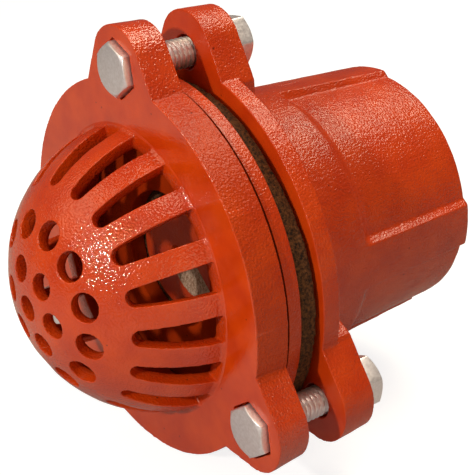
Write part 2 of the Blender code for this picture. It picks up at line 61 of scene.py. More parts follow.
# Strainer: one iron casting, a slotted dome on a flange with three ears and a pocket for each bolt head.
# It was sand-cast, so its edges are soft and its skin is a little uneven, and dipped in glossy red enamel.
# Pieces are drawn in millimetres along the valve's own axis, and laid down by one matrix when finished.
LAY_DOWN = Matrix(((0, 0, 0.001, -0.041758), (0, -0.001, 0, 0), (0.001, 0, 0, 0.0785), (0, 0, 0, 1)))
LUG_TURNS = (0, 120, 240)
BOLT_CIRCLE = 83.1
FLANGE_R = 78.5
STRAINER_BACK = 14.5
DOME_R = 60.4
DOME_CENTRE = 10.7
DOME_WALL = 5.5
SLOTS = 18
RIB = 9.2
HEAD_TURNS = (-5.2, -4.1, -6.0)
BOLT_HOLE_R = 7.0
CASTING_TRIANGLES = 195000


def around(radius, degrees, centre=(0.0, 0.0)):
    angle = math.radians(degrees)
    return centre[0] + radius * math.cos(angle), centre[1] + radius * math.sin(angle)


def arc(centre, radius, start, end, steps):
    return [around(radius, start + (end - start) * k / steps, centre) for k in range(steps + 1)]


def skin(rings, closed=False, capped=False):
    """Faces between rings of points; a ring of one point is a pole."""
    bm = bmesh.new()
    loops = [[bm.verts.new(point) for point in ring] for ring in rings]
    pairs = list(zip(loops, loops[1:])) + ([(loops[-1], loops[0])] if closed else [])
    for low, high in pairs:
        count = max(len(low), len(high))
        for k in range(count):
            after = (k + 1) % count
            corners = [low[k % len(low)], low[after % len(low)], high[after % len(high)], high[k % len(high)]]
            bm.faces.new(list(dict.fromkeys(corners)))
    if capped:
        bm.faces.new(loops[0])
        bm.faces.new(loops[-1])
    bmesh.ops.recalc_face_normals(bm, faces=bm.faces)
    return bm


def lathe(profile, steps, closed=True):
    """A profile of (r, z) points turned round the axis."""
    rings = []
    for r, z in profile:
        rings.append([(0.0, 0.0, z)] if r < 1e-6 else [(*around(r, 360 * k / steps), z) for k in range(steps)])
    return skin(rings, closed)


def slab(outline, low, high):
    return skin([[(x, y, z) for x, y in outline] for z in (low, high)], capped=True)


def piece_from(bm, name):
    mesh = bpy.data.meshes.new(name)
    bm.to_mesh(mesh)
    bm.free()
    made = bpy.data.objects.new(name, mesh)
    bpy.context.scene.collection.objects.link(made)
    return made


def bake(piece):
    """Turns a piece's modifiers into plain mesh."""
    graph = bpy.context.evaluated_depsgraph_get()
    mesh = bpy.data.meshes.new_from_object(piece.evaluated_get(graph))
    piece.modifiers.clear()
    piece.data = mesh


def shape_with(piece, tool, operation):
    """Cuts, joins or crops a piece with another, which is used up."""
    step = piece.modifiers.new(operation, "BOOLEAN")
    step.operation = operation
    step.solver = "EXACT"
    step.object = tool
    bake(piece)
    bpy.data.objects.remove(tool, do_unlink=True)


def feed(tree, node, sockets):
    """Sets a node's sockets; each takes a value, or another node's output to link."""
    for key, value in sockets.items():
        if isinstance(value, bpy.types.NodeSocket):
            tree.links.new(value, node.inputs[key])
        else:
            node.inputs[key].default_value = value


def add(tree, kind, sockets=None, **settings):
    """A node with its settings and sockets."""
    made = tree.nodes.new(kind)
    for name, value in settings.items():
        setattr(made, name, value)
    feed(tree, made, sockets or {})
    return made


def tree_for(name, inputs):
    """An empty geometry tree, its input node, and each input's identifier."""
    tree = bpy.data.node_groups.new(name, "GeometryNodeTree")
    tree.interface.new_socket("Geometry", in_out="INPUT", socket_type="NodeSocketGeometry")
    keys = {}
    for label, kind in inputs.items():
        keys[label] = tree.interface.new_socket(label, in_out="INPUT", socket_type=kind).identifier
    tree.interface.new_socket("Geometry", in_out="OUTPUT", socket_type="NodeSocketGeometry")
    return tree, tree.nodes.new("NodeGroupInput"), keys


def run_tree(piece, tree, keys, values):
    step = piece.modifiers.new(tree.name, "NODES")
    step.node_group = tree
    for label, value in values.items():
        step[keys[label]] = value
    bake(piece)


ring_tree, given, ring_keys = tree_for("copies_round_axis", {
    "Count": "NodeSocketInt", "First turn": "NodeSocketFloat", "Material": "NodeSocketMaterial"})
seats = add(ring_tree, "GeometryNodePoints", {"Count": given.outputs["Count"]})
number = add(ring_tree, "GeometryNodeInputIndex")
pitch = add(ring_tree, "ShaderNodeMath", {0: 2 * math.pi, 1: given.outputs["Count"]}, operation="DIVIDE")
turn = add(ring_tree, "ShaderNodeMath", {0: number.outputs[0], 1: pitch.outputs[0], 2: given.outputs["First turn"]},
           operation="MULTIPLY_ADD")
spin = add(ring_tree, "FunctionNodeAxisAngleToRotation", {"Axis": (0, 0, 1), "Angle": turn.outputs[0]})
copies = add(ring_tree, "GeometryNodeInstanceOnPoints", {
    "Points": seats.outputs[0], "Instance": given.outputs["Geometry"], "Rotation": spin.outputs[0]})
solid = add(ring_tree, "GeometryNodeRealizeInstances", {0: copies.outputs[0]})
painted = add(ring_tree, "GeometryNodeSetMaterial", {
    "Geometry": solid.outputs[0], "Material": given.outputs["Material"]})
add(ring_tree, "NodeGroupOutput", {"Geometry": painted.outputs[0]})


def copies_round(bm, name, count, first_turn):
    """One shape repeated at even turns round the valve's axis."""
    made = piece_from(bm, name)
    run_tree(made, ring_tree, ring_keys, {"Count": count, "First turn": math.radians(first_turn)})
    return made


def as_cast(piece, grain, passes, triangles):
    """Re-skins a sharp solid on a fine grid and relaxes it, which rounds its edges as a mould does."""
    step = piece.modifiers.new("mould", "REMESH")
    step.mode = "VOXEL"
    step.voxel_size = grain * 1.0
    soften = piece.modifiers.new("soft edges", "SMOOTH")
    soften.factor = 0.5
    soften.iterations = passes
    bake(piece)
    fewer = piece.modifiers.new("thinned", "DECIMATE")
    fewer.ratio = min(1.0, triangles / (2 * len(piece.data.polygons)))
    bake(piece)


def sand_skin(piece, roughness, depth, shade_and_thin_coat=None):
    """Stores how rough each point's skin is in 'sand', and in a second attribute where its coat is thin and where
    painted shade darkens it, and lifts the surface by that much unevenness."""
    mesh = piece.data
    count = len(mesh.vertices)
    places = np.empty(count * 3, dtype=np.float32)
    facing = np.empty(count * 3, dtype=np.float32)
    mesh.vertices.foreach_get("co", places)
    mesh.vertex_normals.foreach_get("vector", facing)
    places = places.reshape(-1, 3)
    facing = facing.reshape(-1, 3)
    r, z = np.hypot(places[:, 0], places[:, 1]), places[:, 2].copy()
    sand = roughness(r, z, facing[:, 2]).astype(np.float32)
    lift = np.array([noise.noise(Vector(p) / 6.0) + 0.5 * noise.noise(Vector(p) / 2.2) for p in places])
    places += facing * (lift * sand * depth)[:, None]
    mesh.vertices.foreach_set("co", places.ravel())
    mesh.attributes.new("sand", "FLOAT", "POINT").data.foreach_set("value", sand)
    if shade_and_thin_coat:
        mesh.attributes.new("shade_and_thin_coat", "FLOAT", "POINT").data.foreach_set("value", shade_and_thin_coat(r, z).astype(np.float32))
    mesh.update()


def true_flats(piece):
    """Lets large faces rule the shading beside them, so that only the cast edges look rounded."""
    piece.data.polygons.foreach_set("use_smooth", [True] * len(piece.data.polygons))
    ruled = piece.modifiers.new("flats", "WEIGHTED_NORMAL")
    ruled.mode = "FACE_AREA"
    ruled.weight = 50
    bake(piece)


def lay_down(piece, material):
    """Lays a finished piece down in the valve's place, no further out than the solids' own box."""
    mesh = piece.data
    mesh.transform(LAY_DOWN)
    mesh.materials.clear()
    mesh.materials.append(material)
    mesh.polygons.foreach_set("use_smooth", [True] * len(mesh.polygons))
    places = np.empty(len(mesh.vertices) * 3, dtype=np.float32)
    mesh.vertices.foreach_get("co", places)
    inside = np.clip(places.reshape(-1, 3), *np.array(solid_box, dtype=np.float32))
    mesh.vertices.foreach_set("co", inside.ravel())
    mesh.update()


def settle(piece, material, body, node):
    """Lays a finished piece down with its material, hangs it on its body, and hides the CAD part it stands for."""
    lay_down(piece, material)
    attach(piece, body)
    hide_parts(node)


def linear(code):
    """An sRGB hex colour as linear light."""
    parts = [int(code[k:k + 2], 16) / 255 for k in (1, 3, 5)]
    return (*[c / 12.92 if c <= 0.04045 else ((c + 0.055) / 1.055) ** 2.4 for c in parts], 1.0)


def new_finish(name):
    """A new material, its node tree, its shader and the piece's own coordinates."""
    made = bpy.data.materials.new(name)
    made.use_nodes = True
    tree = made.node_tree
    return made, tree, tree.nodes["Principled BSDF"], add(tree, "ShaderNodeTexCoord").outputs["Object"]


def two_tone(tree, pattern, low, low_colour, high, high_colour):
    """A colour that runs from one tone to the other between two levels of a pattern."""
    ramp = add(tree, "ShaderNodeValToRGB", {"Fac": pattern.outputs["Fac"]})
    for end, level, colour in zip(ramp.color_ramp.elements, (low, high), (low_colour, high_colour)):
        end.position = level
        end.color = linear(colour)
    return ramp.outputs["Color"]


def gloss_enamel(name, light, deep, roughness):
    """Red stoving enamel dipped over sand-cast iron: the sand's grain of about 1 mm shows through the gloss as a
    glittering ripple, pinholes are left dark, and where the coat is thin it is dull and darker. The same darkening
    also serves as painted shade where the valve's hollows and insides lie in shade."""
    made, tree, shader, place = new_finish(name)
    sand = add(tree, "ShaderNodeAttribute", attribute_name="sand").outputs["Fac"]
    shade_and_thin_coat = add(tree, "ShaderNodeAttribute", attribute_name="shade_and_thin_coat").outputs["Fac"]
    pools = add(tree, "ShaderNodeTexNoise", {"Vector": place, "Scale": 1 / 0.014, "Detail": 3.0})
    tint = two_tone(tree, pools, 0.35, deep, 0.65, light)
    cells = add(tree, "ShaderNodeTexVoronoi", {"Vector": place, "Scale": 1 / 0.008})
    pinhole = add(tree, "ShaderNodeMapRange", {
        "Value": cells.outputs["Distance"], "From Min": 0.03, "From Max": 0.06, "To Min": 0.7, "To Max": 0.0})
    # Painted shade and a thin coat both darken the coat towards deep brown, and so do the pinholes.
    shade_and_thin_squared = add(tree, "ShaderNodeMath", {0: shade_and_thin_coat, 1: 2.0}, operation="POWER")
    dark = add(tree, "ShaderNodeMath", {0: shade_and_thin_squared.outputs[0], 1: 0.42, 2: pinhole.outputs["Result"]},
               operation="MULTIPLY_ADD")
    coat = add(tree, "ShaderNodeMix", {"Factor": dark.outputs[0], "A": tint, "B": linear("#3A1209")},
               data_type="RGBA")
    grains = add(tree, "ShaderNodeTexNoise", {"Vector": place, "Scale": 1 / 0.0009, "Detail": 1.0})
    lumps = add(tree, "ShaderNodeTexNoise", {"Vector": place, "Scale": 1 / 0.0026, "Detail": 1.0})
    height = add(tree, "ShaderNodeMath", {0: lumps.outputs["Fac"], 1: 0.35, 2: grains.outputs["Fac"]},
                 operation="MULTIPLY_ADD")
    ripple = add(tree, "ShaderNodeBump", {"Strength": sand, "Distance": 0.0005, "Height": height.outputs[0]})
    dull = add(tree, "ShaderNodeMapRange", {"Value": shade_and_thin_coat, "To Min": roughness, "To Max": 0.5})
    shine = add(tree, "ShaderNodeMapRange", {"Value": shade_and_thin_coat, "To Min": 0.75, "To Max": 0.0})
    feed(tree, shader, {
        "Base Color": coat.outputs["Result"], "Normal": ripple.outputs["Normal"], "IOR": 1.5,
        "Roughness": dull.outputs["Result"], "Specular IOR Level": shine.outputs["Result"]})
    return made


def ear_outline(draft):
    """A round tip about the bolt, with flanks spreading straight to the rim."""
    tip = 16.9 - draft
    half = 23.0 - draft
    root = math.sqrt(FLANGE_R ** 2 - half ** 2)
    reach = root - BOLT_CIRCLE
    span = math.degrees(math.atan2(half, reach) - math.acos(tip / math.hypot(reach, half)))
    slope = math.tan(math.radians(90 - span))
    flank = [(root - 2.0, half + 2.0 * slope), (58.0, half + 2.0 * slope)]
    return arc((BOLT_CIRCLE, 0.0), tip, -span, span, 28) + flank + [(x, -y) for x, y in reversed(flank)]


def ears(name, front, back):
    """The flange's three ears, with a little draft so that they leave the mould."""
    rings = [[(x, y, z) for x, y in ear_outline(draft)] for draft, z in ((0.0, front), (0.9, back))]
    return copies_round(skin(rings, capped=True), name, 3, 0.0)


def dome_point(radius, polar, side):
    angle = math.radians(polar)
    return radius * math.sin(angle), side, DOME_CENTRE - radius * math.cos(angle)


def slot_shape():
    """One slot's cutter: a round tip, then sides that spread so that the ribs stay parallel."""
    def half_width(polar):
        return (2 * math.pi * DOME_R * math.sin(math.radians(polar)) / SLOTS - RIB) / 2
    tip, foot_z = 46.8, -0.3
    foot = math.degrees(math.acos((DOME_CENTRE - foot_z) / DOME_R))
    tip_half = half_width(tip + 3.0)
    reach = math.degrees(tip_half / DOME_R)
    edge = [(tip + reach * (1 - math.cos(math.radians(a))), tip_half * math.sin(math.radians(a)))
            for a in range(0, 90, 15)]
    edge += [(tip + reach, tip_half)]
    edge += [(p, half_width(p)) for p in np.linspace(tip + reach + 4, foot, 7)]
    outline = edge + [(p, -s) for p, s in reversed(edge[1:])]
    rings = []
    for radius in (DOME_R - DOME_WALL - 6, DOME_R + 4):
        ring = [dome_point(radius, p, s) for p, s in outline]
        rings.append([(x, y, foot_z if p > foot - 0.01 else z) for (x, y, z), (p, _) in zip(ring, outline)])
    return skin(rings, capped=True)


def round_hole(polar, radius):
    """A drill that stands square to the dome."""
    bm = slab([around(radius, 15 * k) for k in range(24)], DOME_R - DOME_WALL - 6, DOME_R + 4)
    lean = Matrix.Translation((0, 0, DOME_CENTRE)) @ Matrix.Rotation(math.radians(180 - polar), 4, "Y")
    bmesh.ops.transform(bm, matrix=lean, verts=bm.verts)
    return bm


def strainer_sand(r, z, up):
    """Nearly smooth on the faced front of the flange, roughest on its rim and ears."""
    faced = (up < -0.8) & (r > 60) & (z < 1.5)
    return np.where(faced, 0.12, np.where(r > 76, 0.9, 0.7))


def strainer_shade_and_thin_coat(r, z):
    """Painted shade on the dome's inside and the inner part of its slot walls, and a thin, darker coat on the flange's
    rim.
    """
    into_wall = DOME_R - 2.6 - np.hypot(r, z - DOME_CENTRE)
    rim = (r > 77) & (r < 79.5) & (z > 0.5)
    return np.where(r < 62, np.clip(into_wall / 2.0, 0, 1), 0.65 * rim)


inner_r = DOME_R - DOME_WALL
foot_r = math.sqrt(DOME_R ** 2 - DOME_CENTRE ** 2)
bore_r = math.sqrt(inner_r ** 2 - DOME_CENTRE ** 2)
outside = arc((0.0, DOME_CENTRE), DOME_R, -90, -11.5, 40)
inside = arc((0.0, DOME_CENTRE), inner_r, -90, -11.5, 36)
outside[0] = (0.0, outside[0][1])
inside[0] = (0.0, inside[0][1])
dome_profile = outside + [(foot_r + 1.2, 0.0), (FLANGE_R, 0.0), (FLANGE_R, STRAINER_BACK),
                          (bore_r, STRAINER_BACK), (bore_r, 0.0)] + inside[::-1]
strainer = piece_from(lathe(dome_profile, 144, closed=False), "strainer_casting")
shape_with(strainer, ears("strainer_ears", 0.0, STRAINER_BACK), "UNION")
shape_with(strainer, copies_round(slot_shape(), "slots", SLOTS, 14.0), "DIFFERENCE")
shape_with(strainer, copies_round(round_hole(31.0, 5.8), "outer_holes", 12, 15.0), "DIFFERENCE")
shape_with(strainer, copies_round(round_hole(14.8, 5.2), "inner_holes", 6, -20.0), "DIFFERENCE")
shape_with(strainer, piece_from(round_hole(0.0, 5.1), "centre_hole"), "DIFFERENCE")
for lug, head_turn in zip(LUG_TURNS, HEAD_TURNS):
    middle = around(BOLT_CIRCLE, lug)
    pocket = slab([around(12.0, lug + head_turn + 60 * k, middle) for k in range(6)], -3.0, 4.8)
    shape_with(strainer, piece_from(pocket, "head_pocket"), "DIFFERENCE")
    drill = slab([around(BOLT_HOLE_R, 15 * k, middle) for k in range(24)], 3.0, STRAINER_BACK + 3)
    shape_with(strainer, piece_from(drill, "bolt_hole"), "DIFFERENCE")
as_cast(strainer, 0.36, 1, CASTING_TRIANGLES)
sand_skin(strainer, strainer_sand, 0.12, strainer_shade_and_thin_coat)
true_flats(strainer)
enamel = gloss_enamel("red_enamel_on_sand_cast_iron", "#DF470C", "#CF3A09", 0.1)
settle(strainer, enamel, "valve", "strainer")

# Seat ring: a flat turned ring of cast iron between strainer and leather, enamelled with the rest.
# The leather flap closes on its back face, round a bore of 58 mm.
ring_edge = 0.6
ring_low, ring_high, ring_bore, ring_r = 14.8, 22.1, 29.0, 77.0
ring_profile = ([(ring_r - 3.0, ring_low), (ring_r - 2.6, ring_low + 0.4), (ring_r - 0.3, ring_low + 0.4),
                 (ring_r, ring_low + 0.7), (ring_r, ring_low + 1.3), (ring_r, ring_low + 1.5)]
                + arc((ring_r - ring_edge, ring_high - ring_edge), ring_edge, 0, 90, 4)
                + arc((ring_bore + ring_edge, ring_high - ring_edge), ring_edge, 90, 180, 4)
                + arc((ring_bore + ring_edge, ring_low + ring_edge), ring_edge, 180, 270, 4))
seat_ring = piece_from(lathe(ring_profile, 240), "seat_ring_turned")
# The ring's face and bore inside the strainer carry painted shade, and a painted dark line at its edge by the strainer
# stands for the joint's shadow and dirt.
sand_skin(seat_ring, lambda r, z, up: np.where(r > 74, 0.8, 0.15), 0.05,
          shade_and_thin_coat=lambda r, z: np.where(r < 70, 1.0, np.where(z < ring_low + 1.4, 1.5, 0.5)))
settle(seat_ring, enamel, "valve", "seat_ring")

# Leather: one sheet of thick hide is gasket, hinge and flap at once, cut by hand, so its rim is uneven.
# A C-shaped cut frees the flap, which hangs from a tongue that is pared thin along the hinge line.
LEATHER_LOW, LEATHER_HIGH = 22.4, 29.6
HINGE_R = 43.0
TONGUE = 30.0
WINDOW_R, FLAP_R = 50.0, 37.0
STUD_HOLE_R = 4.4


def tongued(radius, steps, reach):
    """A disc with the tongue standing out towards the top ear."""
    corner = math.degrees(math.asin(TONGUE / 2 / radius))
    return arc((0.0, 0.0), radius, corner, 360 - corner, steps) + [(reach, -TONGUE / 2), (reach, TONGUE / 2)]


def cut_hide(name):
    """Thick brown hide seen from its cut side: short pale and dark fibres, matt, with a rough nap."""
    made, tree, shader, place = new_finish(name)
    fibres = add(tree, "ShaderNodeTexNoise", {"Vector": place, "Scale": 1 / 0.0012, "Detail": 4.0, "Roughness": 0.7})
    nap = add(tree, "ShaderNodeBump", {"Strength": 1.0, "Distance": 0.0005, "Height": fibres.outputs["Fac"]})
    feed(tree, shader, {
        "Base Color": two_tone(tree, fibres, 0.38, "#1E0F07", 0.66, "#7A4A28"), "Normal": nap.outputs["Normal"],
        "Roughness": 0.85, "Specular IOR Level": 0.3})
    return made


bulge = np.interp(range(0, 360, 2), (0, 50, 72, 90, 180, 270, 360), (72.6, 72.9, 75.6, 76.2, 75.6, 74.0, 72.6))
rim = [around(r + 0.3 * noise.noise(Vector((k / 4.5, 3, 0))), 2 * k) for k, r in enumerate(bulge)]
gasket = piece_from(slab(rim, LEATHER_LOW, LEATHER_HIGH), "leather_gasket_ring")
shape_with(gasket, piece_from(slab(tongued(WINDOW_R, 120, 49.0), LEATHER_LOW - 2, LEATHER_HIGH + 2), "flap_window"),
           "DIFFERENCE")
as_cast(gasket, 0.8, 2, 60000)
sand_skin(gasket, lambda r, z, up: np.ones_like(r), 0.25)
hide = cut_hide("brown_hide_cut_by_hand")
settle(gasket, hide, "valve", "leather_gasket")

flap = piece_from(slab(tongued(FLAP_R, 120, 49.3), LEATHER_LOW, LEATHER_HIGH), "leather_flap")
web_top = LEATHER_LOW + 2.4
groove = [(HINGE_R - 7.5, LEATHER_HIGH + 1), (HINGE_R - 4.0, web_top), (HINGE_R + 1.5, web_top),
          (HINGE_R + 5.0, LEATHER_HIGH + 1)]
paring = skin([[(x, side, z) for x, z in groove] for side in (-TONGUE, TONGUE)], capped=True)
shape_with(flap, piece_from(paring, "hinge_paring"), "DIFFERENCE")
shape_with(flap, piece_from(slab([around(STUD_HOLE_R, 15 * k) for k in range(24)], 20, 32), "flap_hole"), "DIFFERENCE")
as_cast(flap, 0.6, 2, 50000)
sand_skin(flap, lambda r, z, up: np.ones_like(r), 0.2)
lay_down(flap, hide)
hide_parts("flap_leather")
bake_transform(flap)

# Flap metal: a steel plate under the hide and an iron weight on top pinch it between them on one stud.
# The M8 stud is riveted over in the plate and painted over with it. Its thread, nut and washers are zinc-plated.


def zinc_plate(name, grain, roughness):
    """Zinc over rolled or forged steel: pale warm grey, slightly clouded by a dull bloom, with fine scuffs."""
    made, tree, shader, place = new_finish(name)
    cloud = add(tree, "ShaderNodeTexNoise", {"Vector": place, "Scale": 1 / 0.0012, "Detail": 3.0, "Roughness": 0.6})
    dull = add(tree, "ShaderNodeMapRange", {
        "Value": cloud.outputs["Fac"], "From Min": 0.3, "From Max": 0.7, "To Min": roughness,
        "To Max": roughness + 0.15})
    scuffs = add(tree, "ShaderNodeTexNoise", {"Vector": place, "Scale": 1 / grain, "Detail": 2.0})
    dents = add(tree, "ShaderNodeBump", {"Strength": 0.35, "Distance": 0.00008, "Height": scuffs.outputs["Fac"]})
    feed(tree, shader, {
        "Base Color": two_tone(tree, cloud, 0.3, "#EADDE2", 0.7, "#FAF0F6"), "Normal": dents.outputs["Normal"],
        "Roughness": dull.outputs["Result"], "Metallic": 0.8})
    return made


zinc = zinc_plate("zinc_plated_forged_steel", 0.0008, 0.33)


def rounded_disc(name, bore, radius, low, high, edge):
    """A disc with a hole, its four edges rounded."""
    outer, inner = radius - edge, bore + edge
    profile = (arc((outer, low + edge), edge, -90, 0, 4) + arc((outer, high - edge), edge, 0, 90, 4)
               + arc((inner, high - edge), edge, 90, 180, 4) + arc((inner, low + edge), edge, 180, 270, 4))
    return piece_from(lathe(profile, 120), name)


def chafed_enamel(name):
    """Red enamel on a steel plate, chafed through to bare mottled metal on the side that hangs lowest."""
    made = gloss_enamel(name, "#D8440F", "#C93410", 0.3)
    tree = made.node_tree
    shader = tree.nodes["Principled BSDF"]
    paint = shader.inputs["Base Color"].links[0].from_socket
    place = add(tree, "ShaderNodeTexCoord").outputs["Object"]
    patch_middle, patch_reach, patch_top, patch_slant = (-0.0222, -0.0109, 0.0780), 0.0145, 0.0775, 0.0649
    ragged = add(tree, "ShaderNodeTexNoise", {"Vector": place, "Scale": 1 / 0.002, "Detail": 3.0})
    far = add(tree, "ShaderNodeVectorMath", {0: place, 1: patch_middle}, operation="DISTANCE")
    inside = add(tree, "ShaderNodeMath", {0: far.outputs["Value"], 1: patch_reach}, operation="SUBTRACT")
    slant = add(tree, "ShaderNodeVectorMath", {0: place, 1: (0.0, -0.7071, 0.7071)}, operation="DOT_PRODUCT")
    beyond = add(tree, "ShaderNodeMath", {0: slant.outputs["Value"], 1: patch_slant}, operation="SUBTRACT")
    split = add(tree, "ShaderNodeSeparateXYZ", {0: place})
    above = add(tree, "ShaderNodeMath", {0: split.outputs["Z"], 1: patch_top}, operation="SUBTRACT")
    edge = add(tree, "ShaderNodeMath", {0: inside.outputs[0], 1: beyond.outputs[0]}, operation="MAXIMUM")
    edge = add(tree, "ShaderNodeMath", {0: edge.outputs[0], 1: above.outputs[0]}, operation="MAXIMUM")
    frayed = add(tree, "ShaderNodeMath", {0: ragged.outputs["Fac"], 1: 0.0012, 2: edge.outputs[0]},
                 operation="MULTIPLY_ADD")
    bare = add(tree, "ShaderNodeMapRange", {
        "Value": frayed.outputs[0], "From Min": 0.0005, "From Max": 0.0007, "To Min": 1.0, "To Max": 0.0})
    spots = add(tree, "ShaderNodeTexNoise", {"Vector": place, "Scale": 1 / 0.0014, "Detail": 4.0, "Roughness": 0.7})
    metal = two_tone(tree, spots, 0.4, "#8A6248", 0.6, "#D0B09A")
    both = add(tree, "ShaderNodeMix", {"Factor": bare.outputs["Result"], "A": paint, "B": metal}, data_type="RGBA")
    tree.links.new(both.outputs["Result"], shader.inputs["Base Color"])
    return made


plate = rounded_disc("clamp_plate_pressed", STUD_HOLE_R, 23.5, 19.6, 22.1, 0.4)
# The plate lies deep in the valve, and its whole face carries painted shade.
sand_skin(plate, lambda r, z, up: np.full_like(r, 0.3), 0.03, shade_and_thin_coat=lambda r, z: np.full_like(r, 0.6))
settle(plate, chafed_enamel("chafed_red_enamel_on_steel_plate"), "flap", "flap_plate")
washer = rounded_disc("flat_washer_pressed", STUD_HOLE_R, 8.5, 39.7, 41.3, 0.2)
settle(washer, zinc, "flap", "flap_washer")
weight_profile = ([(STUD_HOLE_R, 29.9), (29.0, 29.9), (30.0, 30.9)] + arc((27.5, 35.4), 2.5, 0, 90, 6)
                  + [(16.0, 37.9)] + arc((12.5, 38.2), 1.2, 0, 90, 4) + [(STUD_HOLE_R, 39.4)])
weight = piece_from(lathe(weight_profile, 120), "flap_weight_cast")
sand_skin(weight, lambda r, z, up: np.full_like(r, 0.8), 0.1)
settle(weight, enamel, "flap", "flap_weight")

COIL_R, COIL_LOW, COIL_THICK = 6.8, 41.6, 1.7
coil = []
for k in range(61):
    low = COIL_LOW + 0.3 * k / 60
    section = ((STUD_HOLE_R, low), (COIL_R, low), (COIL_R, low + COIL_THICK), (STUD_HOLE_R, low + COIL_THICK))
    coil.append([(*around(r, 354 * k / 60), z) for r, z in section])
lock_washer = piece_from(skin(coil, capped=True), "spring_washer_coiled")
settle(lock_washer, zinc, "flap", "flap_lock_washer")

# Bolts and nuts: M12 hexagon bolts threaded over their whole length, with plain hexagon nuts.
# Forged or pressed steel with a turned chamfer that leaves a curved edge on each flat, then zinc-plated.
thread_tree, given, thread_keys = tree_for("rolled_thread", {
    "Radius": "NodeSocketFloat", "Pitch": "NodeSocketFloat", "Depth": "NodeSocketFloat", "Length": "NodeSocketFloat",
    "Chamfer": "NodeSocketFloat", "End radius": "NodeSocketFloat", "End pull": "NodeSocketFloat",
    "Rows": "NodeSocketInt", "Round": "NodeSocketInt", "Material": "NodeSocketMaterial"})


def maths(operation, *values):
    """A chain step of the thread's sums."""
    return add(thread_tree, "ShaderNodeMath", dict(enumerate(values)), operation=operation).outputs[0]


sheet = add(thread_tree, "GeometryNodeMeshGrid", {
    "Size X": 1.0, "Size Y": 1.0, "Vertices X": given.outputs["Rows"], "Vertices Y": given.outputs["Round"]})
spot = add(thread_tree, "ShaderNodeSeparateXYZ", {0: add(thread_tree, "GeometryNodeInputPosition").outputs[0]})
along = maths("ADD", spot.outputs["X"], 0.5)
lap = maths("ADD", spot.outputs["Y"], 0.5)
rows = maths("SUBTRACT", given.outputs["Rows"], 1.0)
row = maths("ROUND", maths("MULTIPLY", along, rows))
run = add(thread_tree, "ShaderNodeMapRange", {
    "Value": row, "From Min": 1.0, "From Max": maths("SUBTRACT", rows, 1.0), "To Min": 0.0, "To Max": 1.0})
at_end = maths("MAXIMUM", maths("LESS_THAN", row, 0.5), maths("GREATER_THAN", row, maths("SUBTRACT", rows, 0.5)))
height = maths("MULTIPLY", run.outputs["Result"], given.outputs["Length"])
phase = maths("FRACT", maths("SUBTRACT", maths("DIVIDE", height, given.outputs["Pitch"]), lap))
ridge = maths("ABSOLUTE", maths("SUBTRACT", maths("MULTIPLY", phase, 2.0), 1.0))
flank = add(thread_tree, "ShaderNodeMapRange", {
    "Value": ridge, "From Min": 0.12, "From Max": 0.88, "To Min": 0.0, "To Max": 1.0})
cut = maths("MULTIPLY", flank.outputs["Result"], given.outputs["Depth"])
thread_r = maths("SUBTRACT", given.outputs["Radius"], cut)
nearest = maths("MINIMUM", height, maths("SUBTRACT", given.outputs["Length"], height))
cone = maths("ADD", maths("SUBTRACT", given.outputs["Radius"], given.outputs["Chamfer"]), nearest)
body_r = maths("MINIMUM", thread_r, cone)
end_r = maths("MULTIPLY", at_end, maths("SUBTRACT", given.outputs["End radius"], body_r))
radius = maths("ADD", body_r, end_r)
pull = maths("MULTIPLY", at_end, given.outputs["End pull"])
mid = maths("MULTIPLY", maths("SUBTRACT", maths("MULTIPLY", given.outputs["Length"], 0.5), height), pull)
station = maths("ADD", height, mid)
bearing = maths("MULTIPLY", lap, 2 * math.pi)
where = add(thread_tree, "ShaderNodeCombineXYZ", {
    "X": maths("MULTIPLY", radius, maths("COSINE", bearing)), "Y": maths("MULTIPLY", radius, maths("SINE", bearing)),
    "Z": station})
rolled = add(thread_tree, "GeometryNodeSetPosition", {"Geometry": sheet.outputs[0], "Position": where.outputs[0]})
joined = add(thread_tree, "GeometryNodeMergeByDistance", {"Geometry": rolled.outputs[0], "Distance": 0.001})
whole = add(thread_tree, "GeometryNodeRealizeInstances", {0: joined.outputs[0]})
plated = add(thread_tree, "GeometryNodeSetMaterial", {
    "Geometry": whole.outputs[0], "Material": given.outputs["Material"]})
add(thread_tree, "NodeGroupOutput", {"Geometry": plated.outputs[0]})


def threaded(name, radius, pitch, depth, length, chamfer, per_turn, steps, end_radius=0.0, end_pull=0.0):
    """A rod's thread from z = 0 up, with its ends closed; an end radius wider than the rod makes it a bore's."""
    made = piece_from(bmesh.new(), name)
    run_tree(made, thread_tree, thread_keys, {
        "Radius": radius, "Pitch": pitch, "Depth": depth, "Length": length, "Chamfer": chamfer,
        "End radius": end_radius, "End pull": end_pull, "Rows": int(length / pitch * per_turn) + 3,
        "Round": steps + 1})
    bm = bmesh.new()
    bm.from_mesh(made.data)
    bmesh.ops.recalc_face_normals(bm, faces=bm.faces)
    bm.to_mesh(made.data)
    bm.free()
    return made


def hexagon_blank(name, flats, low, high, low_cut, high_cut, bore):
    """A hexagon cropped by a turned cone at each chamfered end."""
    corners = [around(flats / 2 / math.cos(math.pi / 6), 60 * k) for k in range(6)]
    blank = piece_from(slab(corners, low - (1 if low_cut else 0), high + (1 if high_cut else 0)), name)
    face, reach = flats * 0.479, flats * 0.632
    drop = (reach - face) * math.tan(math.radians(30))
    start = [(face, low), (reach, low + drop)] if low_cut else [(reach, low - 1)]
    end = [(reach, high - drop), (face, high)] if high_cut else [(reach, high + 1)]
    crop = [(0.0, start[0][1])] + start + end + [(0.0, end[-1][1])]
    shape_with(blank, piece_from(lathe(crop, 96, closed=False), "turned_crop"), "INTERSECT")
    if bore:
        shape_with(blank, piece_from(slab([around(bore, 10 * k) for k in range(36)], low - 2, high + 2), "bore"),
                   "DIFFERENCE")
    soft = blank.modifiers.new("worn edges", "BEVEL")
    soft.width = 0.22
    soft.segments = 2
    soft.limit_method = "ANGLE"
    soft.angle_limit = math.radians(25)
    bake(blank)
    return blank


